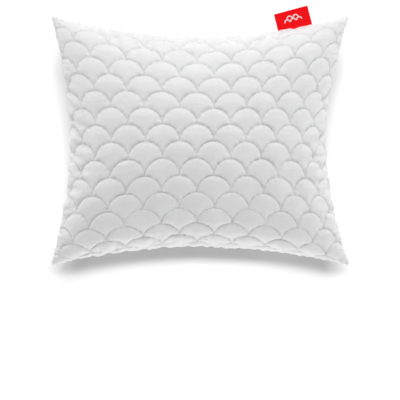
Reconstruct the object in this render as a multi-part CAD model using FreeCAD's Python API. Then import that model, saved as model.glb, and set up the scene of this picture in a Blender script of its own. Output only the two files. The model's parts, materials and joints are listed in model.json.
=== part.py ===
"""Quilted bed pillow, lying flat: +Z is up, +Y points to the labelled edge and +X to that label's end.

The origin is the middle of the flat patch that the pillow rests on. All sizes are in millimetres.
"""

import FreeCAD, Part

import os
from bisect import bisect_left
from math import acos, atan2, comb, cos, degrees, sin

from FreeCAD import Vector

# The pillow's plan, from corner tip to corner tip. Each side bows in by its own amount.
HALF_WIDTH = 290.0
HALF_DEPTH = 244.0
PULL_LEFT, PULL_RIGHT = 36.0, 49.0
PULL_LABEL_EDGE, PULL_FOOT_EDGE = 41.0, 34.0
BOW = (1.0, 0.0, -1.4, 0.0, 0.4)

# Heights. The back panel would drop further, but lies flat on the surface under it.
SEAM_HEIGHT = 96.0
FRONT_RISE = 116.0
BACK_DROP = 112.0

# A panel's section from its middle (1) to its seams (0): a parabola, filled out by these powers.
FULL_2, FULL_4 = 0.4, 1.0
SECTION = (1.0, 0.0, FULL_2 - 1, 0.0, FULL_4 - FULL_2, 0.0, -FULL_4)

# The corners are stuffed fuller than two such sections alone would make them.
FULL_CORNERS = 0.4

# The filling in the front has settled towards the foot edge and the left, by these much.
SLUMP, LEAN = 0.22, 0.08

# The layers of a quilted panel, from the outside in. The filling is inside the last one.
FABRIC = 0.6
WADDING = 4.0
LINING = 0.6

# Sewing thread: one square strand stands for the two twisted threads of each seam.
THREAD = 0.8
SEAM_INSET = 2.0
CLOSING_INSET = 3.6
CLOSING_LENGTH = 180.0

# Scale quilting: rows of half circles, each row half a scale out of step with the next.
SCALE_WIDTH = 63.0
ROW_PITCH = 30.5
ROW_GAP = 1.5
QUILT_MARGIN = 12.0
QUILT_DEPTH = 1.4

# Label: a ribbon folded in half, with its ends caught in the seam.
LABEL_WIDTH = 68.0
LABEL_REACH = 30.0
LABEL_THICK = 0.8
LABEL_AT = 0.632
LABEL_TAIL = 8.0
FLEX_OUT = 1.5
FLEX_GAP = 0.3

DEGREE = 9
FAR = 400.0


def value(powers, w):
    """A polynomial's value. Its coefficients start from the constant."""
    return sum(c * w**k for k, c in enumerate(powers))


def controls(powers):
    """The Bezier control values of a polynomial, for w from -1 to 1."""
    found = []
    for i in range(DEGREE + 1):
        total = 0.0
        for k, c in enumerate(powers):
            signs = ((-1) ** (k - m) * comb(i, m) * comb(DEGREE - i, k - m) for m in range(k + 1))
            total += c * sum(signs) / comb(DEGREE, k)
        found.append(total)
    return found


def rises(height):
    """Pairs of polynomials in u and v, whose products add up to the panel's share of its height.

    The front is fuller on one side. The back, of negative height, is even.
    """
    leans = (LEAN, SLUMP) if height > 0 else (0.0, 0.0)
    extended = (*SECTION, 0.0), (0.0, *SECTION)
    across, along = (tuple(c - lean * before for c, before in zip(*extended)) for lean in leans)
    corners = tuple(FULL_CORNERS * c for c in across)
    return (across, along), ((0.0, 0.0, *corners), (0.0, 0.0, *along))


def pull(low, high):
    """How far a side bows in at its middle, times w: low at w = -1 and high at w = 1."""
    return (0.0, (low + high) / 2, (high - low) / 2)


def plan(u, v, inset=0.0):
    """The plan position of a panel's point. u and v run from -1 to 1 between the seams."""
    bow_x = value(pull(PULL_LEFT, PULL_RIGHT), u) * value(BOW, v)
    bow_y = value(pull(PULL_FOOT_EDGE, PULL_LABEL_EDGE), v) * value(BOW, u)
    return u * (HALF_WIDTH - inset) - bow_x, v * (HALF_DEPTH - inset) - bow_y


def crown(height, inset):
    """The curved face of a half pillow. A negative height is the back."""
    span, bow = controls((0.0, 1.0)), controls(BOW)
    products = [(controls(across), controls(along)) for across, along in rises(height)]
    side_x = controls(pull(PULL_LEFT, PULL_RIGHT))
    side_y = controls(pull(PULL_FOOT_EDGE, PULL_LABEL_EDGE))
    surface = Part.BezierSurface()
    surface.increase(DEGREE, DEGREE)
    for i in range(DEGREE + 1):
        for j in range(DEGREE + 1):
            x = span[i] * (HALF_WIDTH - inset) - side_x[i] * bow[j]
            y = span[j] * (HALF_DEPTH - inset) - side_y[j] * bow[i]
            z = SEAM_HEIGHT + height * sum(across[i] * along[j] for across, along in products)
            surface.setPole(i + 1, j + 1, Vector(x, y, z))
    return surface.toShape()


def outline(inset, z=SEAM_HEIGHT):
    """The closed outline of the pillow's plan at an inset from its seam."""
    wire = Part.Wire(Part.__sortEdges__(crown(0.0, inset).Edges))
    wire.translate(Vector(0, 0, z - SEAM_HEIGHT))
    return wire


def solid_of(faces):
    """One outward-facing solid from faces that meet at their edges."""
    skin = Part.makeCompound(faces)
    skin.sewShape()
    solid = Part.Solid(skin.Shells[0])
    if solid.Volume < 0:
        solid.reverse()
    return solid


def front_half(inset):
    """The front of the pillow at a depth below its outer face, down to the seam plane."""
    return solid_of([crown(FRONT_RISE - inset, inset), Part.Face(outline(inset))])


def rested(solid, inset):
    """A solid with its underside flat where the pillow lies on a surface."""
    below = Part.makeBox(2 * FAR, 2 * FAR, FAR, Vector(-FAR, -FAR, inset - FAR))
    return solid.cut(below)


def back_half(inset):
    """The back of the pillow at a depth below its outer face, up to the seam plane."""
    whole = solid_of([crown(inset - BACK_DROP, inset), Part.Face(outline(inset))])
    return rested(whole, inset)


def filling(inset):
    """All the room inside the linings."""
    whole = solid_of([crown(FRONT_RISE - inset, inset), crown(inset - BACK_DROP, inset)])
    return rested(whole, inset)


def seam_ring(inset):
    """A strand of thread right round the pillow, at an inset from its edge."""
    z = SEAM_HEIGHT - THREAD / 2
    ring = Part.Face(outline(inset, z)).cut(Part.Face(outline(inset + THREAD, z)))
    return ring.extrude(Vector(0, 0, THREAD))


def closing_seam():
    """The thread that closes the filling slit, in the middle of the foot edge."""
    corner = Vector(-CLOSING_LENGTH / 2, -FAR, 0)
    window = Part.makeBox(CLOSING_LENGTH, FAR, FAR, corner)
    return seam_ring(CLOSING_INSET).common(window)


def panel_point(u, v, height, depth=0.0):
    """A point at a depth inside a panel. A negative height is the back, flat at its bottom."""
    x, y = plan(u, v, depth)
    share = sum(value(across, u) * value(along, v) for across, along in rises(height))
    if height > 0:
        return Vector(x, y, SEAM_HEIGHT + (height - depth) * share)
    return Vector(x, y, max(depth, SEAM_HEIGHT + (height + depth) * share))


def walk(axis, height):
    """Pairs of the length along a panel's middle section and u (axis 0) or v (axis 1) there."""
    steps = [k / 400 - 1 for k in range(801)]
    points = [panel_point(w, 0, height) if axis == 0 else panel_point(0, w, height) for w in steps]
    walked = [0.0]
    for before, here in zip(points, points[1:]):
        walked.append(walked[-1] + (here - before).Length)
    return [(length - walked[-1] / 2, w) for length, w in zip(walked, steps)]


def parameter(pairs, length):
    """u or v at a length along the panel, where 0 is halfway between its seams."""
    place = bisect_left(pairs, (length, -1.0), 1, len(pairs) - 1)
    (l0, w0), (l1, w1) = pairs[place - 1 : place + 1]
    return w0 + (w1 - w0) * (length - l0) / (l1 - l0)


def strand(corners):
    """A solid thread from the four curves along its corners, in order round its section."""
    edges = []
    for points in corners:
        curve = Part.BSplineCurve()
        curve.interpolate(Points=points, Parameters=[float(k) for k in range(len(points))])
        edges.append(curve.toShape())
    faces = [Part.makeRuledSurface(edges[k], edges[(k + 1) % 4]) for k in range(4)]
    for end in (0, -1):
        rungs = [Part.makeLine(corners[k][end], corners[k + 1][end]) for k in (0, 2)]
        rungs[1].reverse()
        faces.append(Part.makeRuledSurface(*rungs))
    return solid_of(faces)


def scallop(centre, foot, limit, height, maps):
    """One scale's thread, cut short at the limit. Its place is given on the flat panel."""
    r = SCALE_WIDTH / 2 - 1.5 * THREAD
    lift = (ROW_PITCH - ROW_GAP) / r
    start, stop = (acos(max(-1.0, min(1.0, (x - centre) / r))) for x in (limit, -limit))
    if stop - start < 0.5:
        return None
    angles = [start + (stop - start) * k / 6 for k in range(7)]
    corners = []
    for radius, depth in ((r, 0), (r + THREAD, 0), (r + THREAD, THREAD), (r, THREAD)):
        points = []
        for angle in angles:
            u = parameter(maps[0], centre + radius * cos(angle))
            v = parameter(maps[1], foot + lift * radius * sin(angle))
            points.append(panel_point(u, v, height, FABRIC + QUILT_DEPTH + depth))
        corners.append(points)
    return strand(corners)


def quilting(height):
    """The quilting threads of one panel, just under its fabric. A negative height is the back."""
    maps = [walk(axis, height) for axis in (0, 1)]
    limit_x, limit_y = (pairs[-1][0] - QUILT_MARGIN for pairs in maps)
    threads = []
    rows, scales = int(limit_y // ROW_PITCH), int(limit_x // SCALE_WIDTH) + 1
    for n in range(-rows, rows):
        for i in range(-scales, scales + 1):
            centre = (i + n % 2 / 2) * SCALE_WIDTH
            threads.append(scallop(centre, n * ROW_PITCH, limit_x, height, maps))
    return Part.makeCompound([thread for thread in threads if thread])


def label_frame():
    """The label's place: the middle of its flex line, and the seam's direction there."""
    half = LABEL_WIDTH / 2 / HALF_WIDTH
    ends = [Vector(*plan(LABEL_AT + k * half, 1), SEAM_HEIGHT) for k in (-1, 1)]
    along = (ends[1] - ends[0]).normalize()
    middle = (ends[0] + ends[1]) * 0.5 + Vector(-along.y, along.x, 0) * FLEX_OUT
    return middle, along


def place_label(shape):
    """Moves a shape from the label's own frame, +Y outward from its flex line, into place."""
    middle, along = label_frame()
    shape.rotate(Vector(0, 0, 0), Vector(0, 0, 1), degrees(atan2(along.y, along.x)))
    shape.translate(middle)
    return shape


def label_tab():
    """The part of the label that flaps: two layers of ribbon with a folded outer end."""
    half, r = LABEL_WIDTH / 2, LABEL_THICK / 2
    along = Vector(1, 0, 0)
    sheet = Part.makeBox(LABEL_WIDTH, LABEL_REACH - r, LABEL_THICK, Vector(-half, 0, -r))
    bead = Part.makeCylinder(r, LABEL_WIDTH, Vector(-half, 0, 0), along)
    fold = Part.makeCylinder(r, LABEL_WIDTH, Vector(-half, LABEL_REACH - r, 0), along)
    return place_label(sheet.fuse([bead, fold]).removeSplitter())


def label_tail():
    """The label's two ends, caught between the panels and held by the seam's thread."""
    half, r = LABEL_WIDTH / 2, LABEL_THICK / 2
    start = -(r + FLEX_GAP)
    length = LABEL_TAIL + FLEX_OUT + start
    corner = Vector(-half, start - length, -r)
    return place_label(Part.makeBox(LABEL_WIDTH, length, LABEL_THICK, corner))


def main():
    depths = [0.0, FABRIC, FABRIC + WADDING, FABRIC + WADDING + LINING]
    seam, closing, tail = seam_ring(SEAM_INSET), closing_seam(), label_tail()
    nodes = {
        "fibre_fill": filling(depths[3]).cut(tail),
        "perimeter_seam_thread": seam,
        "closing_seam_thread": closing,
        "label_tail": tail,
        "label_tab": label_tab(),
    }
    for side, half, height in (("front", front_half, FRONT_RISE), ("back", back_half, -BACK_DROP)):
        skins = [half(depth) for depth in depths]
        nodes[f"{side}_face_fabric"] = skins[0].cut(skins[1]).cut(tail).cut(seam)
        nodes[f"{side}_wadding"] = skins[1].cut(skins[2]).cut(tail).cut(seam).cut(closing)
        nodes[f"{side}_lining"] = skins[2].cut(skins[3]).cut(tail)
        nodes[f"{side}_quilting_thread"] = quilting(height)

    os.makedirs("parts", exist_ok=True)
    for name, shape in nodes.items():
        shape.exportStep(f"parts/{name}.step")
        print(
            f"{name:24} solids {len(shape.Solids):3} faces {len(shape.Faces):4} "
            f"valid {shape.isValid()} volume {shape.Volume / 1000:.2f} cm3"
        )
    print("label flex line and its direction:", *label_frame())


main()
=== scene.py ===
"""The quilted bed pillow: its two panels are relaxed as cloth from their flat cut, then quilted."""

import json
from math import cos, pi, sin

import bpy
import numpy as np
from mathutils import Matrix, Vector


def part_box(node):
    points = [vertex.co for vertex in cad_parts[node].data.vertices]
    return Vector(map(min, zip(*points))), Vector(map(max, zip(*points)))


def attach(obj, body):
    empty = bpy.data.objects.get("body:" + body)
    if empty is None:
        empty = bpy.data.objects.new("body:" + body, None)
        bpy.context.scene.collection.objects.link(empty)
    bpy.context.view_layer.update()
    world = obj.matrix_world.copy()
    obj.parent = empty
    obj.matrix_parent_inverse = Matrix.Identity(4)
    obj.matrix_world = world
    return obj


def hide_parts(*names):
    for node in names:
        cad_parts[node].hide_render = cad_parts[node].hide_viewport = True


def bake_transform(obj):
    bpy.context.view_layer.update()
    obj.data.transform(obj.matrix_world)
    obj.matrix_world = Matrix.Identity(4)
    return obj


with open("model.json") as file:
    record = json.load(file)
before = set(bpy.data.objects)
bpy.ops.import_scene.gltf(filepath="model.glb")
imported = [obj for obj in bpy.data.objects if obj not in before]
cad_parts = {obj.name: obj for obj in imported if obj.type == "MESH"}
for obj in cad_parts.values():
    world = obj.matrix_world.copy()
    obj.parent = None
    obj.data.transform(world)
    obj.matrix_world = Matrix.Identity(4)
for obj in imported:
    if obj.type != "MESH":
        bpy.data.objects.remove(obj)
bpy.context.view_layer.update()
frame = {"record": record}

MM = 0.001

# The casing, from the CAD. The seam plane is the lowest level of the front fabric.
CASE_LOW, CASE_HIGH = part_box("front_face_fabric")
SEAM_Z = CASE_LOW.z
HALF_WIDTH, HALF_DEPTH = CASE_HIGH.x, CASE_HIGH.y
FRONT_RISE, BACK_DROP = 116 * MM, 112 * MM

# How far each side pulls in between its corners, and how gently that bow starts there.
PULL_LEFT, PULL_RIGHT = 36 * MM, 49 * MM
PULL_LABEL_EDGE, PULL_FOOT_EDGE = 41 * MM, 34 * MM
BOW_EASE = 0.4

# The crown's fullness away from its middle, and how much lower it is towards the label edge and the right.
FULL_2, FULL_4, FULL_CORNERS = 0.4, 1.0, 0.4
SLUMP, LEAN = 0.22, 0.08

# The flat cut of each panel, and how much the seam's thread shortens its edges.
FLAT_WIDTH, FLAT_DEPTH = 600 * MM, 500 * MM
SEAM_SHRINK_X, SEAM_SHRINK_Y = 0.98, 0.995

# The cells of the cloth grid that is relaxed, and of the fine grid that is quilted.
CLOTH_X, CLOTH_Y = 144, 120
FINE_X, FINE_Y = 352, 284

# The relaxation: its rounds of (pressure, steps), its damping, and the stiffness against shear and bending.
ROUNDS = ((0.004 * MM, 500), (0.0025 * MM, 300))
DAMPING = 0.92
CROSS_STIFFNESS = 0.35
START_RIPPLE = 1.5 * MM

# The filling's push: how uneven it is, its share at the foot edge, and what it loses by the label edge.
PUSH_UNEVEN = 0.25
PUSH_AT_FOOT, PUSH_LOSS = 1.12, 0.24

# How much of the seam's drift from its plane is taken back at each step.
SEAM_RETURN = 0.2

# The room that the filling keeps between the panels, and the pull back to the CAD's broad shape.
FILLING_GAP, FILLING_RAMP = 9 * MM, 16
CAD_SHARE, CAD_BLUR = 0.75, 8

# The quilting: rows of half circles, wider towards the left, that drift a little from even rows.
SCALE_WIDTH = 63 * MM
ROW_PITCH = 30.5 * MM
SCALE_SPREAD = 0.25
SCALE_DRIFT = 2.2 * MM

# The wadding's lift between the stitches: a steep rim beside them and a broad body.
PUFF_EDGE, PUFF_EDGE_REACH = 2.2 * MM, 2.6 * MM
PUFF_BODY, PUFF_BODY_REACH, PUFF_BODY_POWER = 3.7 * MM, 13 * MM, 1.5
PUFF_BLUR, PUFF_UNEVEN = 3, 0.18
PUFF = PUFF_EDGE + PUFF_BODY

# How high the smooth cloth stays above the floor, to leave room for its puffs, and then how high they stay.
FLOOR_GAP, PUFF_FLOOR_GAP = 0.6 * PUFF, 0.1 * MM

# The relief starts from nothing at the seams, and each seam holds down this share of it, this far in.
SEAM_HOLD_REACH = 2.5 * MM
END_HOLD, END_HOLD_REACH = 0.7, 14 * MM
FOOT_HOLD, FOOT_HOLD_REACH = 0.75, 36 * MM
LABEL_HOLD, LABEL_HOLD_REACH = 0.9, 46 * MM

# The folds that the seams draw in: (width, reach, height). Those in the middle of a long edge are higher.
GATHERS = ((7 * MM, 12 * MM, 0.5 * MM), (13 * MM, 24 * MM, 1.1 * MM), (25 * MM, 36 * MM, 1.3 * MM))
GATHER_BOOST, GATHER_BOOST_REACH = 0.8, 110 * MM
GATHER_SLANT = 0.15

# Puckers at the stitches, and small random folds by the long sides, by the ends, at the corners and inside.
BROAD_PUCKERS, BROAD_PUCKERS_REACH = 0.8 * MM, 6 * MM
FINE_PUCKERS, FINE_PUCKERS_REACH = 0.3 * MM, 4.5 * MM
SIDE_FOLDS, SIDE_FOLDS_REACH = 1.2 * MM, 30 * MM
END_FOLDS, END_FOLDS_REACH = 2.2 * MM, 38 * MM
CORNER_FOLDS, CORNER_FOLDS_REACH = 1.1 * MM, 55 * MM
INNER_FOLDS = 0.6 * MM

# How deep the inner layers lie under the panels' smooth shape, at most this share of the way to the other
# panel, and the filling's own lumps.
WADDING_DEPTH, LINING_DEPTH, FILLING_DEPTH = 1 * MM, 2 * MM, 3 * MM
DEPTH_SHARE = 0.42
FLUFF = 0.8 * MM

# The threads, and how far from the seam the quilting stops.
STITCH = 3.2 * MM
QUILTING_MARGIN = 3 * MM
THREAD_RADIUS = 0.3 * MM
SEAM_THREAD_RADIUS = 0.45 * MM
CLOSING_LENGTH = 180 * MM
CLOSING_INSET = 3.6 * MM

# The label, from the CAD's joint.
FLAP = frame["record"]["behaviour"]["joints"][0]
LABEL_AT = Vector(FLAP["pos_m"])
LABEL_ALONG = Vector(FLAP["axis"]).normalized()
LABEL_OUT = Vector((0, 0, 1)).cross(LABEL_ALONG)
LABEL_WIDTH, LABEL_REACH, LABEL_THICK = 68 * MM, 30 * MM, 0.8 * MM
LABEL_TAIL = 8 * MM
LABEL_TURN = 0.07
LABEL_WAVE, LABEL_RISE = 1.1 * MM, 1.5 * MM

# The fabric's finish: the reach and tint of the painted shade that darkens each stitch line's groove, the
# bumped rim beside it, its soft creases and its weave.
PAINTED_SHADE_REACH, GROOVE_PAINTED_SHADE = 0.8 * MM, (0.9, 0.9, 0.91, 1)
RIM_REACH, RIM_DEPTH = 3 * MM, 2 * MM
CREASE_SIZE, CREASE_DEPTH = 9 * MM, 1 * MM
WEAVE_PITCH, WEAVE_DEPTH = 0.7 * MM, 0.08 * MM

# The pitch of the wave texture's bands at a scale of 1.
WAVE_PITCH = 0.314

# The camera, straight above the front face and a little towards the foot edge.
CAMERA_AT = (-2 * MM, -118 * MM, SEAM_Z + 1.85)
LENS, SENSOR = 85, 36
FLOOR_RADIUS = 2.0

RNG = np.random.default_rng(7)


# ---------------------------------------------------------------- shape of the filled casing


def lumps(shape, across, along=None):
    """A smooth random field from -1 to 1, with about this many lumps across and along the panel."""
    counts = (across, along or across)
    field = RNG.standard_normal([count + 3 for count in counts])
    for axis, count in enumerate(counts):
        field = np.moveaxis(field, axis, 0)
        at = np.linspace(0, count - 0.001, shape[axis])
        k, f = at.astype(int), at - at.astype(int)
        weights = (
            (1 - f) ** 3 / 6,
            (3 * f**3 - 6 * f**2 + 4) / 6,
            (-3 * f**3 + 3 * f**2 + 3 * f + 1) / 6,
            f**3 / 6,
        )
        field = sum(w[:, None] * field[k + i] for i, w in enumerate(weights))
        field = np.moveaxis(field, 0, axis)
    return field / np.abs(field).max()


def creases(shape, across, along, width):
    """Thin folds, from 0 to 1, along the lines where a smooth random field is zero."""
    return np.exp(-((lumps(shape, across, along) / width) ** 2))


def section(w):
    """The crown's height along one direction, as a share, for w from -1 to 1."""
    return (1 - w**2) * (1 + FULL_2 * w**2 + FULL_4 * w**4)


def dome(u, v, height):
    """A point of the CAD's panel, for u and v from -1 to 1. A negative height is the back."""
    bow_u, bow_v = ((1 - w**2) * (1 - BOW_EASE * w**2) for w in (u, v))
    x = u * (HALF_WIDTH - (PULL_LEFT * (1 - u) + PULL_RIGHT * (1 + u)) / 2 * bow_v)
    y = v * (HALF_DEPTH - (PULL_FOOT_EDGE * (1 - v) + PULL_LABEL_EDGE * (1 + v)) / 2 * bow_u)
    lean = (1 - SLUMP * v) * (1 - LEAN * u) if height > 0 else 1.0
    z = SEAM_Z + height * section(u) * section(v) * (1 + FULL_CORNERS * u**2 * v**2) * lean
    return np.stack(np.broadcast_arrays(x, y, z), -1)


def even_steps(count, axis, height):
    """u or v at equal steps of length along the middle of a panel."""
    w = np.linspace(-1, 1, 801)
    line = dome(w, 0 * w, height) if axis == 0 else dome(0 * w, w, height)
    walked = np.append(0, np.cumsum(np.linalg.norm(np.diff(line, axis=0), axis=1)))
    return np.interp(np.linspace(0, walked[-1], count + 1), walked, w)


def casing():
    """Both panels on the cloth grid, in the shape of the CAD's solids."""
    panels = []
    for height in (FRONT_RISE - PUFF, PUFF - BACK_DROP):
        steps = [even_steps(n, axis, height) for axis, n in enumerate((CLOTH_X, CLOTH_Y))]
        panels.append(dome(*np.meshgrid(*steps, indexing="ij"), height))
    panels = np.array(panels)
    panels[..., 2] = np.maximum(panels[..., 2], FLOOR_GAP)
    return panels


# ---------------------------------------------------------------- cloth


def join_seam(panels):
    """The two panels share their edges."""
    for edge in (np.s_[:, 0], np.s_[:, -1], np.s_[:, :, 0], np.s_[:, :, -1]):
        panels[edge] = panels[edge].mean(0)


def links():
    """The cloth's threads, then its diagonals and its bending links, as (first, second, length, share).

    Each entry holds links that share no point, so that all of them can be moved at once.
    """
    nx, ny, s = CLOTH_X, CLOTH_Y, slice
    dx, dy = FLAT_WIDTH / nx, FLAT_DEPTH / ny
    across = np.full((2, nx, ny + 1), dx)
    across[:, :, [0, -1]] *= SEAM_SHRINK_X
    along = np.full((2, nx + 1, ny), dy)
    along[:, [0, -1], :] *= SEAM_SHRINK_Y
    every, found = s(None), []
    for k in (0, 1):
        left, right = s(k, nx, 2), s(k + 1, nx + 1, 2)
        low, high = s(k, ny, 2), s(k + 1, ny + 1, 2)
        found.append(((every, left), (every, right), across[:, k::2], 1.0))
        found.append(((every, every, low), (every, every, high), along[:, :, k::2], 1.0))
    diagonal = np.hypot(dx, dy)
    for k in (0, 1):
        left, right = s(k, nx, 2), s(k + 1, nx + 1, 2)
        found.append(((every, left, s(0, ny)), (every, right, s(1, ny + 1)), diagonal, CROSS_STIFFNESS))
        found.append(((every, left, s(1, ny + 1)), (every, right, s(0, ny)), diagonal, CROSS_STIFFNESS))
    for k in range(4):
        i, j = np.arange(k, nx - 1, 4), np.arange(k, ny - 1, 4)
        found.append(((every, i), (every, i + 2), 2 * dx, CROSS_STIFFNESS))
        found.append(((every, every, j), (every, every, j + 2), 2 * dy, CROSS_STIFFNESS))
    return found


def outward(panels):
    """Normals out of the pillow, as long as each cell's area."""
    normals = np.cross(np.gradient(panels, axis=1), np.gradient(panels, axis=2))
    normals[1] *= -1
    return normals


def relax(panels, pressure, steps):
    """Lets the two sewn panels find their shape round the filling, resting on the floor."""
    rows = np.linspace(0, 1, CLOTH_Y + 1)
    columns = np.linspace(0, 1, CLOTH_X + 1)[:, None]
    from_seam = np.minimum(np.minimum(rows, 1 - rows), np.minimum(columns, 1 - columns))
    padding = np.minimum(1, from_seam * FILLING_RAMP) * FILLING_GAP
    uneven = np.array([lumps(panels.shape[1:3], 7) for _ in (0, 1)])
    push = pressure * (1 + PUSH_UNEVEN * uneven) * (PUSH_AT_FOOT - PUSH_LOSS * rows)
    cell = FLAT_WIDTH / CLOTH_X * FLAT_DEPTH / CLOTH_Y
    speed = np.zeros_like(panels)
    threads = links()
    for _ in range(steps):
        before = panels
        panels = panels + DAMPING * (speed + outward(panels) / cell * push[..., None])
        for first, second, length, share in threads:
            gap = panels[second] - panels[first]
            now = np.linalg.norm(gap, axis=-1) + 1e-9
            move = gap * ((now - length) / now * 0.5 * share)[..., None]
            panels[first] += move
            panels[second] -= move
        join_seam(panels)
        crossing = np.maximum(0, padding - (panels[0, ..., 2] - panels[1, ..., 2])) / 2
        panels[0, ..., 2] += crossing
        panels[1, ..., 2] -= crossing
        panels[..., 2] += SEAM_RETURN * (SEAM_Z - panels[:, :, [0, -1], 2].mean())
        panels[..., 2] = np.maximum(panels[..., 2], FLOOR_GAP)
        speed = panels - before
    return panels


def blurred(field, radius):
    """A field on a grid, smoothed over a radius in cells, with its edges kept."""
    taps = np.exp(-0.5 * (np.arange(-3 * radius, 3 * radius + 1) / radius) ** 2)
    taps /= taps.sum()
    for axis in (1, 2):
        pad = [(0, 0)] * field.ndim
        pad[axis] = (3 * radius, 3 * radius)
        wide = np.pad(field, pad, mode="reflect", reflect_type="odd")
        size = field.shape[axis]
        field = sum(t * np.take(wide, range(i, i + size), axis) for i, t in enumerate(taps))
    return field


def settled():
    """The two relaxed panels: the CAD's broad shape with the cloth's own gathers and folds."""
    target = casing()
    join_seam(target)
    panels = target.copy()
    for side in (0, 1):
        for axis in range(3):
            panels[side, ..., axis] += START_RIPPLE * lumps(panels.shape[1:3], 40)
    join_seam(panels)
    for pressure, steps in ROUNDS:
        panels = relax(panels, pressure, steps)
    panels += CAD_SHARE * blurred(target - panels, CAD_BLUR)
    join_seam(panels)
    return panels


# ---------------------------------------------------------------- quilting


def resample(field, shape):
    """A smooth curve through a grid's values along each side, read at more places."""
    for axis, count in ((0, shape[0]), (1, shape[1])):
        field = np.moveaxis(field, axis, 0)
        last = len(field) - 1
        at = np.linspace(0, last, count)
        k = np.minimum(at.astype(int), last - 1)
        f = (at - k).reshape(-1, *[1] * (field.ndim - 1))
        ends = (2 * field[:1] - field[1:2], field, 2 * field[-1:] - field[-2:-1])
        p = np.concatenate(ends)
        a, b, c, d = p[k], p[k + 1], p[k + 2], p[k + 3]
        field = b + 0.5 * f * (c - a + f * (2 * a - 5 * b + 4 * c - d + f * (3 * (b - c) + d - a)))
        field = np.moveaxis(field, 0, axis)
    return field


def nearest_scale(sx, sy):
    """Reads the rows of half circles at places in scale units.

    Gives the distances to the nearest stitch line and to the next row's, and the nearest one's angle
    on its scale and that scale's number.
    """
    best, second = np.full(sx.shape, np.inf), np.full(sx.shape, np.inf)
    angle, number = np.zeros(sx.shape), np.zeros(sx.shape)
    for drop in (0, 1):
        row = np.floor(sy) - drop
        aside = (sx - row % 2 + 1) % 2 - 1
        off = np.abs(np.hypot(aside, sy - row) - 1)
        closer = off < best
        second = np.where(closer, best, off)
        best = np.where(closer, off, best)
        angle = np.where(closer, np.arctan2(sy - row, aside), angle)
        number = np.where(closer, row * 57 + sx - aside, number)
    return best * SCALE_WIDTH / 2, second * SCALE_WIDTH / 2, angle, number


def puckers(angle, number, distance):
    """Small folds that run into the stitches, square to them."""
    fine = np.sin(angle * 29 + number * 1.7) + 0.7 * np.sin(angle * 47 + number * 2.9)
    broad = np.sin(angle * 11 + number * 2.3) * np.sin(angle * 5 + number * 4.1)
    broad *= BROAD_PUCKERS * np.exp(-((distance / BROAD_PUCKERS_REACH) ** 2))
    fine *= FINE_PUCKERS * np.exp(-((distance / FINE_PUCKERS_REACH) ** 2))
    return broad + fine


def edge_lumps(count):
    """A smooth random line from about -1 to 1, with this many lumps."""
    return lumps((2048, 2), count, 2)[:, 0]


def gathers(x, y):
    """Folds that the seam draws in, square to it, dying out over the panel."""
    found = 0
    for place, other, size, depth in ((x, y, FLAT_WIDTH, FLAT_DEPTH), (y, x, FLAT_DEPTH, FLAT_WIDTH)):
        boost = GATHER_BOOST if size > depth else 0
        for end in (-1, 1):
            away = depth / 2 - end * other
            share = 1 + boost * np.exp(-((place / GATHER_BOOST_REACH) ** 2))
            for width, reach, height in GATHERS:
                row = edge_lumps(int(size / width)) * (0.75 + 0.5 * edge_lumps(9))
                spots = np.linspace(-size / 2, size / 2, len(row))
                fold = np.interp(place + away * GATHER_SLANT, spots, row)
                found = found + share * height * fold * np.exp(-away / reach)
    return found


def wrinkles(x, y):
    """Small random folds: square to the seams near them, level inside the panel, any way at the corners."""
    from_ends, from_sides = FLAT_WIDTH / 2 - np.abs(x), FLAT_DEPTH / 2 - np.abs(y)
    near_sides, near_ends = np.exp(-from_sides / SIDE_FOLDS_REACH), np.exp(-from_ends / END_FOLDS_REACH)
    corner = np.exp(-((np.hypot(from_ends, from_sides) / CORNER_FOLDS_REACH) ** 2))
    upright = creases(x.shape, 110, 9, 0.12) - 0.7 * creases(x.shape, 90, 12, 0.12)
    level = creases(x.shape, 10, 90, 0.12) - 0.7 * creases(x.shape, 12, 75, 0.12)
    inside = lumps(x.shape, 26, 62) + 0.6 * creases(x.shape, 22, 50, 0.08)
    found = SIDE_FOLDS * upright * near_sides + END_FOLDS * level * near_ends
    found += INNER_FOLDS * inside * (1 - near_sides) * (1 - near_ends)
    return found + CORNER_FOLDS * corner * lumps(x.shape, 60)


def held_down(x, y):
    """How much of the quilting's relief is lost: by the seams, and widest by the label's seam."""
    near_end = END_HOLD * np.exp(-(FLAT_WIDTH / 2 - np.abs(x)) / END_HOLD_REACH)
    near_foot = FOOT_HOLD * np.exp(-(((FLAT_DEPTH / 2 + y) / FOOT_HOLD_REACH) ** 2))
    near_label = LABEL_HOLD * np.exp(-(((FLAT_DEPTH / 2 - y) / LABEL_HOLD_REACH) ** 2))
    return np.maximum(np.maximum(near_end, near_foot), near_label)


def scale_places(x, y):
    """Flat places in scale units, with the scales' widening and drift."""
    across = x + SCALE_SPREAD * x**2 + SCALE_DRIFT * lumps(x.shape, 11)
    up = y + SCALE_DRIFT * lumps(x.shape, 11)
    return np.stack([across, up], -1) / (SCALE_WIDTH / 2, ROW_PITCH)


def rise(distance, reach, power=1.0):
    """How far a puff has risen at a distance from the stitches, from 0 to 1."""
    return 1 - np.exp(-((distance / reach) ** power))


def relief(x, y, quilt):
    """How far the fabric stands out at each flat place."""
    distance, second, angle, number = nearest_scale(quilt[..., 0], quilt[..., 1])
    from_seam = np.minimum(FLAT_WIDTH / 2 - np.abs(x), FLAT_DEPTH / 2 - np.abs(y))
    distance = np.minimum(distance, from_seam)
    body = PUFF_BODY
    for away in (distance, second):
        body = body * rise(away, PUFF_BODY_REACH, PUFF_BODY_POWER)
    lift = PUFF_EDGE * rise(distance, PUFF_EDGE_REACH) + blurred(body[None], PUFF_BLUR)[0]
    lift *= 1 + PUFF_UNEVEN * lumps(x.shape, 24)
    lift *= 1 - held_down(x, y)
    lift += puckers(angle, number, distance) + gathers(x, y) + wrinkles(x, y)
    return lift * rise(from_seam, SEAM_HOLD_REACH)


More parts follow.
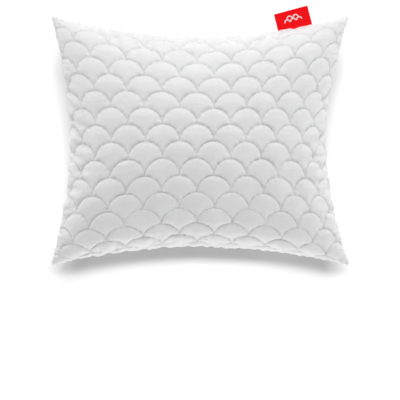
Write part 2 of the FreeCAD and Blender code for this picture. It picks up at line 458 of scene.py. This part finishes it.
def quilted(panel, side):
    """One panel's fine grid with its quilting, its normals and each point's place in scale units."""
    smooth = resample(panel, (FINE_X + 1, FINE_Y + 1))
    x = np.linspace(-FLAT_WIDTH / 2, FLAT_WIDTH / 2, FINE_X + 1)
    y = np.linspace(-FLAT_DEPTH / 2, FLAT_DEPTH / 2, FINE_Y + 1)
    x, y = np.meshgrid(x, y, indexing="ij")
    quilt = scale_places(x, y)
    lift = relief(x, y, quilt)
    normals = np.cross(np.gradient(smooth, axis=0), np.gradient(smooth, axis=1))
    normals *= (-1 if side else 1) / np.linalg.norm(normals, axis=-1, keepdims=True)
    outer = smooth + normals * lift[..., None]
    outer[..., 2] = np.maximum(outer[..., 2], PUFF_FLOOR_GAP)
    return outer, normals, quilt


# ---------------------------------------------------------------- meshes


def add_mesh(name, points, faces, **maps):
    """A smooth mesh whose faces all have the same number of corners, with its UV maps by name."""
    mesh = bpy.data.meshes.new(name)
    mesh.vertices.add(len(points))
    mesh.vertices.foreach_set("co", np.ascontiguousarray(points, np.float32).ravel())
    mesh.loops.add(faces.size)
    mesh.loops.foreach_set("vertex_index", faces.ravel().astype(np.int32))
    mesh.polygons.add(len(faces))
    size = faces.shape[1]
    mesh.polygons.foreach_set("loop_start", np.arange(0, faces.size, size, dtype=np.int32))
    mesh.polygons.foreach_set("use_smooth", np.ones(len(faces), bool))
    mesh.update(calc_edges=True)
    for map_name, uv in maps.items():
        layer = mesh.uv_layers.new(name=map_name)
        layer.data.foreach_set("uv", uv.reshape(-1, 2)[faces.ravel()].astype(np.float32).ravel())
    obj = bpy.data.objects.new(name, mesh)
    bpy.context.scene.collection.objects.link(obj)
    return obj


def grid_faces(nx, ny, flip=False, first=0):
    """Quads of a grid of nx by ny points, numbered from first."""
    n = np.arange(nx * ny).reshape(nx, ny) + first
    quads = np.stack([n[:-1, :-1], n[1:, :-1], n[1:, 1:], n[:-1, 1:]], -1).reshape(-1, 4)
    return quads[:, ::-1] if flip else quads


def flat_uv(nx, ny):
    """Each grid point's place on the flat cut, in metres."""
    x, y = np.linspace(0, FLAT_WIDTH, nx), np.linspace(0, FLAT_DEPTH, ny)
    return np.stack(np.meshgrid(x, y, indexing="ij"), -1).reshape(-1, 2)


def add_sheet(name, grid, side, material, **maps):
    """One layer of cloth on a panel's grid. Side 1 is the back, which faces down."""
    nx, ny = grid.shape[:2]
    faces = grid_faces(nx, ny, side == 1)
    obj = add_mesh(name, grid.reshape(-1, 3), faces, flat=flat_uv(nx, ny), **maps)
    obj.data.materials.append(material)
    return obj


def rim_of(grid):
    """A grid's border points, once round."""
    return np.concatenate([grid[:-1, 0], grid[-1, :-1], grid[:0:-1, -1], grid[0, :0:-1]])


def add_shell(name, top, under, material):
    """A closed skin over two grids of the same shape."""
    nx, ny = top.shape[:2]
    count = nx * ny
    rim = rim_of(np.arange(count).reshape(nx, ny))
    after = np.roll(rim, -1)
    sides = np.stack([rim, rim + count, after + count, after], -1)
    faces = np.concatenate([grid_faces(nx, ny), grid_faces(nx, ny, True, count), sides])
    walked = [np.linalg.norm(np.diff(top, axis=k), axis=-1).mean(1 - k).cumsum() for k in (0, 1)]
    uv = np.stack(np.meshgrid(*[np.append(0, w) for w in walked], indexing="ij"), -1).reshape(-1, 2)
    obj = add_mesh(name, np.concatenate([top, under]).reshape(-1, 3), faces, flat=np.tile(uv, (2, 1)))
    obj.data.materials.append(material)
    return obj


def sunk(panels, side, depth):
    """A panel's grid moved towards the other panel by a depth, and never past the middle."""
    gap = panels[1 - side] - panels[side]
    length = np.linalg.norm(gap, axis=-1, keepdims=True) + 1e-9
    return panels[side] + gap / length * np.minimum(depth, DEPTH_SHARE * length)


def add_filling(panels, material):
    """The fibre filling: a closed crowned form just inside the linings."""
    inner = np.array([sunk(panels, side, FILLING_DEPTH) for side in (0, 1)])[:, 2:-2, 2:-2]
    join_seam(inner)
    fluff = np.array([lumps(inner.shape[1:3], 45) for _ in (0, 1)])
    edge = [np.minimum(1, np.minimum(k, k[::-1]) / 4) for k in map(np.arange, inner.shape[1:3])]
    inner[..., 2] += FLUFF * fluff * np.outer(*edge)
    nx, ny = inner.shape[1:3]
    faces = [grid_faces(nx, ny), grid_faces(nx, ny, True, nx * ny)]
    obj = add_mesh("fibre_filling", inner.reshape(-1, 3), np.concatenate(faces))
    weld = obj.modifiers.new("weld", "WELD")
    weld.merge_threshold = 0.01 * MM
    apply_modifiers(obj)
    obj.data.materials.append(material)
    return obj


def apply_modifiers(obj):
    """Keeps an object's modified mesh and drops its modifiers."""
    graph = bpy.context.evaluated_depsgraph_get()
    mesh = bpy.data.meshes.new_from_object(obj.evaluated_get(graph))
    obj.modifiers.clear()
    obj.data = mesh


def read_grid(grid, x, y):
    """A fine grid's values at flat places."""
    nx, ny = grid.shape[0] - 1, grid.shape[1] - 1
    i = np.clip((x / FLAT_WIDTH + 0.5) * nx, 0, nx - 1e-6)
    j = np.clip((y / FLAT_DEPTH + 0.5) * ny, 0, ny - 1e-6)
    a, b = i.astype(int), j.astype(int)
    f, g = (i - a)[..., None], (j - b)[..., None]
    low = grid[a, b] * (1 - f) + grid[a + 1, b] * f
    return low * (1 - g) + (grid[a, b + 1] * (1 - f) + grid[a + 1, b + 1] * f) * g


def stitch_rings(points, normals):
    """Short strands, each through three points, as rings of four points: (stitches, 3, 4, 3)."""
    heading = points[:, 2:] - points[:, :1]
    heading /= np.linalg.norm(heading, axis=-1, keepdims=True) + 1e-12
    side = np.cross(normals, heading)
    rings = []
    for k, (high, wide) in enumerate(((-0.5, 0.5), (0.7, 1.0), (-0.5, 0.5))):
        centre = points[:, k] + normals[:, k] * THREAD_RADIUS * high
        a, b = normals[:, k] * THREAD_RADIUS * wide, side[:, k] * THREAD_RADIUS * wide
        rings.append(np.stack([centre + a, centre + b, centre - a, centre - b], 1))
    return np.stack(rings, 1)


def add_stitches(name, rings, material):
    """One closed strand over each stitch's three rings of four points."""
    ring = np.arange(4)
    beside = (ring + 1) % 4
    tube = [np.stack([ring + k, ring + k + 4, beside + k + 4, beside + k], -1) for k in (0, 4)]
    strand = np.concatenate([*tube, [[0, 1, 2, 3]], [[11, 10, 9, 8]]])
    faces = (strand[None] + 12 * np.arange(len(rings))[:, None, None]).reshape(-1, 4)
    obj = add_mesh(name, rings.reshape(-1, 3), faces)
    obj.data.materials.append(material)
    return obj


def stitch_places(line):
    """Splits flat lines, shaped (lines, steps), into stitches of three points with a gap after each."""
    return np.stack([line[:, 0:-1:3], line[:, 1::3], line[:, 2::3]], -1)


def quilting_lines():
    """Every scale's half circle, in scale units."""
    rows = int(FLAT_DEPTH / 2 / ROW_PITCH) + 1
    scales = int(FLAT_WIDTH / SCALE_WIDTH) + 2
    row, scale = np.meshgrid(range(-rows - 1, rows + 1), range(-scales, scales + 1), indexing="ij")
    angle = np.linspace(0, pi, 3 * round(pi * SCALE_WIDTH / 2 / STITCH) + 1)
    return (2 * scale + row % 2).reshape(-1, 1) + np.cos(angle), row.reshape(-1, 1) + np.sin(angle)


def flat_place(sx, sy, quilt):
    """The flat places of points given in scale units."""
    x, y = sx * SCALE_WIDTH / 2, sy * ROW_PITCH
    for _ in range(4):
        at = read_grid(quilt, x, y)
        x, y = x + (sx - at[..., 0]) * SCALE_WIDTH / 2, y + (sy - at[..., 1]) * ROW_PITCH
    return x, y


def add_quilting(name, outer, normals, quilt, material):
    """The stitches of one panel's quilting, up to a little short of the seam."""
    x, y = flat_place(*map(stitch_places, quilting_lines()), quilt)
    from_seam = np.minimum(FLAT_WIDTH / 2 - np.abs(x), FLAT_DEPTH / 2 - np.abs(y))
    keep = (from_seam > QUILTING_MARGIN).all(-1)
    x, y = x[keep], y[keep]
    return add_stitches(name, stitch_rings(read_grid(outer, x, y), read_grid(normals, x, y)), material)


def add_closing_seam(quilts, material):
    """The line of stitches that shuts the filling slit, seen on both faces."""
    steps = 3 * round(CLOSING_LENGTH / STITCH) + 1
    x = stitch_places(np.linspace(-CLOSING_LENGTH / 2, CLOSING_LENGTH / 2, steps)[None])[0]
    y = 0 * x + CLOSING_INSET - FLAT_DEPTH / 2
    rings = [stitch_rings(read_grid(q[0], x, y), read_grid(q[1], x, y)) for q in quilts]
    return add_stitches("closing_seam_stitches", np.concatenate(rings), material)


def add_seam_thread(outer, material):
    """A fine thread along the knife edge, where the two panels meet."""
    line = rim_of(outer)
    heading = np.roll(line, -1, 0) - np.roll(line, 1, 0)
    heading /= np.linalg.norm(heading, axis=-1, keepdims=True)
    up = np.tile([0.0, 0.0, 1.0], (len(line), 1))
    side = np.cross(heading, up)
    side /= np.linalg.norm(side, axis=-1, keepdims=True)
    angle = np.linspace(0, 2 * pi, 6, endpoint=False)
    ring = up[:, None] * np.sin(angle)[:, None] + side[:, None] * np.cos(angle)[:, None]
    points = line[:, None] - side[:, None] * 0.3 * MM + SEAM_THREAD_RADIUS * ring
    n = np.arange(len(line) * 6).reshape(-1, 6)
    after, beside = np.roll(n, -1, 0), np.roll(n, -1, 1)
    faces = np.stack([n, after, np.roll(after, -1, 1), beside], -1).reshape(-1, 4)
    obj = add_mesh("seam_thread", points.reshape(-1, 3), faces)
    obj.data.materials.append(material)
    return obj


# ---------------------------------------------------------------- label


def label_point(s, t, lift=0.0):
    """A point of the label, sewn in slightly askew: s along its width and t outward, with a slight wave."""
    out = np.clip(t / LABEL_REACH, 0, 1)
    z = LABEL_WAVE * np.sin(s / LABEL_WIDTH * 4.2 + 0.6) * out + LABEL_RISE * out**2 + lift
    along = s * cos(LABEL_TURN) - t * sin(LABEL_TURN)
    away = s * sin(LABEL_TURN) + t * cos(LABEL_TURN)
    axes = np.array([LABEL_ALONG, LABEL_OUT, (0, 0, 1)])
    return np.array(LABEL_AT) + np.stack(np.broadcast_arrays(along, away, z), -1) @ axes


def add_ribbon(name, start, end, material):
    """The label's ribbon from start out to its fold at end, and back, as a closed skin."""
    half, gap = LABEL_THICK / 4, 0.1 * MM
    out = np.linspace(start, end - 2 * half, 22)
    turn = np.linspace(pi / 2, -pi / 2, 9)[1:-1]
    s = np.linspace(-LABEL_WIDTH / 2, LABEL_WIDTH / 2, 49)
    skins = []
    for radius in (2 * half, gap / 2):
        t = np.concatenate([out, out[-1] + radius * np.cos(turn), out[::-1]])
        z = np.concatenate([0 * out + radius, radius * np.sin(turn), 0 * out - radius])
        skins.append(label_point(s[None, :], t[:, None], z[:, None]))
    return add_shell(name, *skins, material)


def add_motif(material):
    """Small woven scales on each face of the label, like the pillow's own quilting."""
    radius, band = 6 * MM, 2 * MM
    ring, angle = np.array([[radius - band], [radius]]), np.linspace(0, pi, 25)
    points, faces = [], []
    for face in (1, -1):
        for aside, up in ((-2, 0), (0, 0), (2, 0), (-1, 1), (1, 1)):
            s0, t0 = aside * radius, 8 * MM + up * radius
            s, t = s0 + ring * np.cos(angle), t0 + ring * np.sin(angle)
            grid = label_point(s, t, face * (LABEL_THICK / 2 + 0.05 * MM))
            faces.append(grid_faces(2, 25, face == 1, sum(len(p) for p in points)))
            points.append(grid.reshape(-1, 3))
    obj = add_mesh("label_motif", np.concatenate(points), np.concatenate(faces))
    obj.data.materials.append(material)
    return obj


# ---------------------------------------------------------------- materials


def new_material(name, colour, roughness, sheen=0.0):
    """A plain material to build on, with its node tree and its shader."""
    material = bpy.data.materials.new(name)
    material.use_nodes = True
    shader = material.node_tree.nodes["Principled BSDF"]
    shader.inputs["Base Color"].default_value = (*colour, 1)
    shader.inputs["Roughness"].default_value = roughness
    shader.inputs["Specular IOR Level"].default_value = 0.3
    shader.inputs["Sheen Weight"].default_value = sheen
    shader.inputs["Sheen Roughness"].default_value = 0.45
    return material, material.node_tree, shader


def add_node(tree, kind, **values):
    """A node with values for its inputs or, where it has no such input, its settings."""
    node = tree.nodes.new(kind)
    for name, value in values.items():
        if name in node.inputs:
            node.inputs[name].default_value = value
        else:
            setattr(node, name, value)
    return node


def place_of(tree, uv):
    """Where a pattern is read: on the flat cut, or in the object's own space."""
    if uv:
        return add_node(tree, "ShaderNodeUVMap", uv_map="flat").outputs["UV"]
    return add_node(tree, "ShaderNodeTexCoord").outputs["Object"]


def add_ramp(tree, value, low, high):
    """A colour that runs between two stops, each a (place, colour), as a value rises."""
    ramp = add_node(tree, "ShaderNodeValToRGB")
    for stop, (position, colour) in zip(ramp.color_ramp.elements, (low, high)):
        stop.position, stop.color = position, (*colour, 1)
    tree.links.new(value, ramp.inputs["Fac"])
    return ramp.outputs["Color"]


def vary_colour(tree, shader, place, dark, light, size):
    """Lets the colour wander between two tones, in patches of about this size."""
    colour = add_ramp(tree, noise_height(tree, place, size, 4.0), (0.3, dark), (0.7, light))
    tree.links.new(colour, shader.inputs["Base Color"])
    return colour


def weave_height(tree, place, pitch):
    """Warp and weft threads crossing at a pitch."""
    waves = []
    for direction in ("X", "Y"):
        wave = add_node(tree, "ShaderNodeTexWave", bands_direction=direction, Scale=WAVE_PITCH / pitch)
        tree.links.new(place, wave.inputs["Vector"])
        waves.append(wave.outputs["Fac"])
    return calc(tree, "MAXIMUM", *waves)


def noise_height(tree, place, size, detail=3.0):
    """Uneven patches of about this size, from 0 to 1."""
    noise = add_node(tree, "ShaderNodeTexNoise", Scale=1 / size, Detail=detail)
    tree.links.new(place, noise.inputs["Vector"])
    return noise.outputs["Fac"]


def add_bumps(tree, shader, heights):
    """Bumps in turn, each a height, its depth in metres and its strength."""
    normal = None
    for height, depth, strength in heights:
        bump = add_node(tree, "ShaderNodeBump", Distance=depth, Strength=strength)
        tree.links.new(height, bump.inputs["Height"])
        if normal:
            tree.links.new(normal, bump.inputs["Normal"])
        normal = bump.outputs["Normal"]
    tree.links.new(normal, shader.inputs["Normal"])


def vary_roughness(tree, shader, place, low, high, size):
    """Lets the roughness wander between two values, in patches of about this size."""
    spread = add_node(tree, "ShaderNodeMapRange")
    spread.inputs["To Min"].default_value, spread.inputs["To Max"].default_value = low, high
    tree.links.new(noise_height(tree, place, size), spread.inputs["Value"])
    tree.links.new(spread.outputs["Result"], shader.inputs["Roughness"])


def calc(tree, operation, *values):
    """A math node over sockets and plain numbers."""
    node = add_node(tree, "ShaderNodeMath", operation=operation)
    for socket, value in zip(node.inputs, values):
        if isinstance(value, bpy.types.NodeSocket):
            tree.links.new(value, socket)
        else:
            socket.default_value = value
    return node.outputs["Value"]


def stitch_distance(tree):
    """The distance to the nearest stitch line in metres, as nearest_scale finds it."""
    split = add_node(tree, "ShaderNodeSeparateXYZ")
    quilt = add_node(tree, "ShaderNodeUVMap", uv_map="quilt")
    tree.links.new(quilt.outputs["UV"], split.inputs["Vector"])
    sx, sy = split.outputs["X"], split.outputs["Y"]
    found = []
    for drop in (0, 1):
        row = calc(tree, "SUBTRACT", calc(tree, "FLOOR", sy), drop)
        odd = calc(tree, "FLOORED_MODULO", row, 2)
        aside = calc(tree, "WRAP", calc(tree, "SUBTRACT", sx, odd), 1, -1)
        up = calc(tree, "SUBTRACT", sy, row)
        aside_2 = calc(tree, "POWER", calc(tree, "ABSOLUTE", aside), 2)
        away = calc(tree, "SQRT", calc(tree, "ADD", aside_2, calc(tree, "POWER", up, 2)))
        found.append(calc(tree, "ABSOLUTE", calc(tree, "SUBTRACT", away, 1)))
    return calc(tree, "MULTIPLY", calc(tree, "MINIMUM", *found), SCALE_WIDTH / 2)


def fade(tree, distance, reach):
    """1 at no distance, falling away over the reach."""
    return calc(tree, "EXPONENT", calc(tree, "MULTIPLY", distance, -1 / reach))


def stitch_hold(tree):
    """How strongly a stitch line shows, from 0 to 1: less by the seams, as held_down finds it."""
    split = add_node(tree, "ShaderNodeSeparateXYZ")
    tree.links.new(place_of(tree, True), split.inputs["Vector"])
    x, y = split.outputs["X"], split.outputs["Y"]
    from_end = calc(tree, "MINIMUM", x, calc(tree, "SUBTRACT", FLAT_WIDTH, x))
    held = calc(tree, "MULTIPLY", fade(tree, from_end, END_HOLD_REACH), END_HOLD)
    edges = (
        (y, FOOT_HOLD_REACH, FOOT_HOLD),
        (calc(tree, "SUBTRACT", FLAT_DEPTH, y), LABEL_HOLD_REACH, LABEL_HOLD),
    )
    for away, reach, most in edges:
        near = calc(tree, "MULTIPLY", fade(tree, calc(tree, "POWER", away, 2), reach**2), most)
        held = calc(tree, "MAXIMUM", held, near)
    return calc(tree, "SUBTRACT", 1, held)


def stitch_pull(tree, place):
    """How tight each stretch of stitches is, from 0 to 1: uneven, and less by the seams."""
    uneven = add_node(tree, "ShaderNodeMapRange")
    uneven.inputs["From Min"].default_value, uneven.inputs["From Max"].default_value = 0.35, 0.65
    uneven.inputs["To Min"].default_value = 0.35
    tree.links.new(noise_height(tree, place, 30 * MM), uneven.inputs["Value"])
    return calc(tree, "MULTIPLY", uneven.outputs["Result"], stitch_hold(tree))


def microfibre():
    """Brushed white microfibre: a fine weave, stitched grooves darkened with painted shade, soft creases
    and a slight sheen.
    """
    material, tree, shader = new_material("white_microfibre", (0.86, 0.86, 0.87), 0.8, 0.25)
    place = place_of(tree, True)
    colour = vary_colour(tree, shader, place, (0.81, 0.81, 0.82), (0.86, 0.86, 0.865), 40 * MM)
    vary_roughness(tree, shader, place, 0.7, 0.9, 25 * MM)
    distance, pull = stitch_distance(tree), stitch_pull(tree, place)
    # Painted shade: the base colour is darkened along each stitch line, as if shade fell in its groove.
    painted_shade = calc(tree, "MULTIPLY", fade(tree, distance, PAINTED_SHADE_REACH), pull)
    shade = add_node(tree, "ShaderNodeMixRGB", blend_type="MULTIPLY", Color2=GROOVE_PAINTED_SHADE)
    tree.links.new(painted_shade, shade.inputs["Fac"])
    tree.links.new(colour, shade.inputs["Color1"])
    tree.links.new(shade.outputs["Color"], shader.inputs["Base Color"])
    rim = calc(tree, "SUBTRACT", 1, calc(tree, "MULTIPLY", fade(tree, distance, RIM_REACH), pull))
    creases_height = noise_height(tree, place, CREASE_SIZE, 5.0)
    weave = weave_height(tree, place, WEAVE_PITCH)
    heights = ((rim, RIM_DEPTH, 1.0), (creases_height, CREASE_DEPTH, 0.5), (weave, WEAVE_DEPTH, 0.35))
    add_bumps(tree, shader, heights)
    return material


def batting(name, colour, size):
    """Matted fibres: wadding, lining or filling."""
    material, tree, shader = new_material(name, colour, 0.95, 0.1)
    place = place_of(tree, False)
    vary_colour(tree, shader, place, [c * 0.95 for c in colour], colour, 6 * size)
    add_bumps(tree, shader, [(noise_height(tree, place, size, 6.0), size / 3, 0.6)])
    return material


def sewing_thread():
    """Spun polyester thread."""
    material, tree, shader = new_material("white_thread", (0.84, 0.84, 0.85), 0.55, 0.1)
    place = place_of(tree, False)
    vary_colour(tree, shader, place, (0.8, 0.8, 0.81), (0.88, 0.88, 0.89), 3 * MM)
    add_bumps(tree, shader, [(noise_height(tree, place, 0.4 * MM), 0.1 * MM, 0.4)])
    return material


def ribbon(name, colour):
    """Close-woven satin ribbon."""
    material, tree, shader = new_material(name, colour, 0.6)
    shader.inputs["Specular IOR Level"].default_value = 0.12
    place = place_of(tree, True)
    vary_colour(tree, shader, place, [c * 0.92 for c in colour], colour, 5 * MM)
    add_bumps(tree, shader, [(weave_height(tree, place, 0.5 * MM), 0.06 * MM, 0.4)])
    return material


# ---------------------------------------------------------------- the pillow


def add_layers(name, side, panels, outer, quilt, materials):
    """One panel's fabric, wadding and lining, from the outside in."""
    fabric, wadding, lining = materials
    layers = (
        ("fabric", "face_fabric", outer, fabric, {"quilt": quilt}),
        ("wadding_layer", "wadding", sunk(panels, side, WADDING_DEPTH)[1:-1, 1:-1], wadding, {}),
        ("lining_layer", "lining", sunk(panels, side, LINING_DEPTH)[1:-1, 1:-1], lining, {}),
    )
    for layer, slot, grid, material, maps in layers:
        piece = add_sheet(f"{name}_{layer}", grid, side, material, **maps)
        belongs(piece, f"{name}_{slot}")


def add_pillow():
    """Everything that rides on the pillow's body, apart from the label's sewn-in ends."""
    thread = sewing_thread()
    wadding = batting("wadding", (0.9, 0.9, 0.9), 1.5 * MM)
    lining = batting("non_woven", (0.88, 0.88, 0.88), 1 * MM)
    materials = (microfibre(), wadding, lining)
    panels = settled()
    quilts = [quilted(panels[side], side) for side in (0, 1)]
    for side, name in enumerate(("front", "back")):
        outer, normals, quilt = quilts[side]
        add_layers(name, side, panels, outer, quilt, materials)
        stitches = add_quilting(f"{name}_quilting_stitches", outer, normals, quilt, thread)
        belongs(stitches, f"{name}_quilting_thread")
    filling = add_filling(panels, batting("hollow_fibre", (0.92, 0.92, 0.92), 3 * MM))
    belongs(filling, "fibre_fill")
    belongs(add_seam_thread(quilts[0][0], thread), "perimeter_seam_thread")
    belongs(add_closing_seam(quilts, thread), "closing_seam_thread")


def belongs(piece, node, body="pillow"):
    """Hides the CAD node that a piece stands for, and hangs the piece on a body unless body is None."""
    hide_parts(node)
    if body:
        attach(piece, body)


def add_label():
    """The label: its ends ride on the pillow's body in the seam; the rest, which bends at the seam on the
    CAD's joint, is tied to no body.
    """
    red = ribbon("red_ribbon", (1.0, 0.0, 0.004))
    tail = add_ribbon("label_ends", -LABEL_TAIL, 0, red)
    tab = add_ribbon("label_flap", 0, LABEL_REACH, red)
    motif = add_motif(ribbon("white_ribbon", (0.85, 0.85, 0.85)))
    belongs(tail, "label_tail")
    belongs(tab, "label_tab", None)
    for piece in (tab, motif):
        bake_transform(piece)


# ---------------------------------------------------------------- floor, light and camera


def add_floor():
    """A round pale floor at the level that the pillow rests on."""
    bpy.ops.mesh.primitive_circle_add(vertices=128, radius=FLOOR_RADIUS, fill_type="NGON")
    floor = bpy.context.object
    floor.name = "floor"
    floor.data.materials.append(new_material("pale_floor", (0.75, 0.75, 0.75), 0.9)[0])
    return floor


def add_softbox(name, place, width, height, power, target=(0, 0, 0.08)):
    """A soft rectangular lamp, aimed at the pillow unless told otherwise."""
    light = bpy.data.lights.new(name, "AREA")
    light.shape, light.size, light.size_y, light.energy = "RECTANGLE", width, height, power
    obj = bpy.data.objects.new(name, light)
    obj.location = place
    obj.rotation_euler = (Vector(target) - Vector(place)).to_track_quat("-Z", "Y").to_euler()
    bpy.context.scene.collection.objects.link(obj)
    return obj


def add_lights(floor):
    """Softboxes, brightest past the label edge, and a wide lamp that whitens the floor alone."""
    add_softbox("back", (0.1, 1.2, 1.4), 0.6, 0.6, 14.5)
    add_softbox("front", (0.3, -1.7, 0.3), 1.0, 0.6, 9)
    add_softbox("right", (1.6, -0.1, 0.5), 0.8, 0.8, 3.8)
    add_softbox("left", (-1.6, -0.1, 0.5), 0.8, 0.8, 3.8)
    add_softbox("top", (-0.1, 0.85, 1.95), 0.5, 0.5, 3)
    backdrop = add_softbox("backdrop", (0, 0.35, 1.95), 2.0, 0.3, 42, (0, -1.2, 0))
    floor_only = bpy.data.collections.new("lit_by_backdrop")
    floor_only.objects.link(floor)
    backdrop.light_linking.receiver_collection = floor_only


def add_room():
    """A pale room, brightest at the horizon, as the walls of a white studio are."""
    world = bpy.data.worlds.new("room")
    world.use_nodes = True
    tree = world.node_tree
    split = add_node(tree, "ShaderNodeSeparateXYZ")
    tree.links.new(add_node(tree, "ShaderNodeTexCoord").outputs["Generated"], split.inputs["Vector"])
    colour = add_ramp(tree, split.outputs["Z"], (0.2, (0.8, 0.8, 0.8)), (0.4, (0.28, 0.28, 0.28)))
    tree.links.new(colour, tree.nodes["Background"].inputs["Color"])
    bpy.context.scene.world = world


def add_camera():
    """Looks straight down on the front face, with the pillow in the upper part of the frame."""
    camera = bpy.data.cameras.new("camera")
    camera.lens, camera.sensor_width = LENS, SENSOR
    obj = bpy.data.objects.new("camera", camera)
    obj.location = CAMERA_AT
    bpy.context.scene.collection.objects.link(obj)
    bpy.context.scene.camera = obj


def main():
    add_pillow()
    add_label()
    add_lights(add_floor())
    add_room()
    add_camera()
    bpy.context.scene.view_settings.view_transform = "Standard"
    bpy.context.view_layer.update()


main()
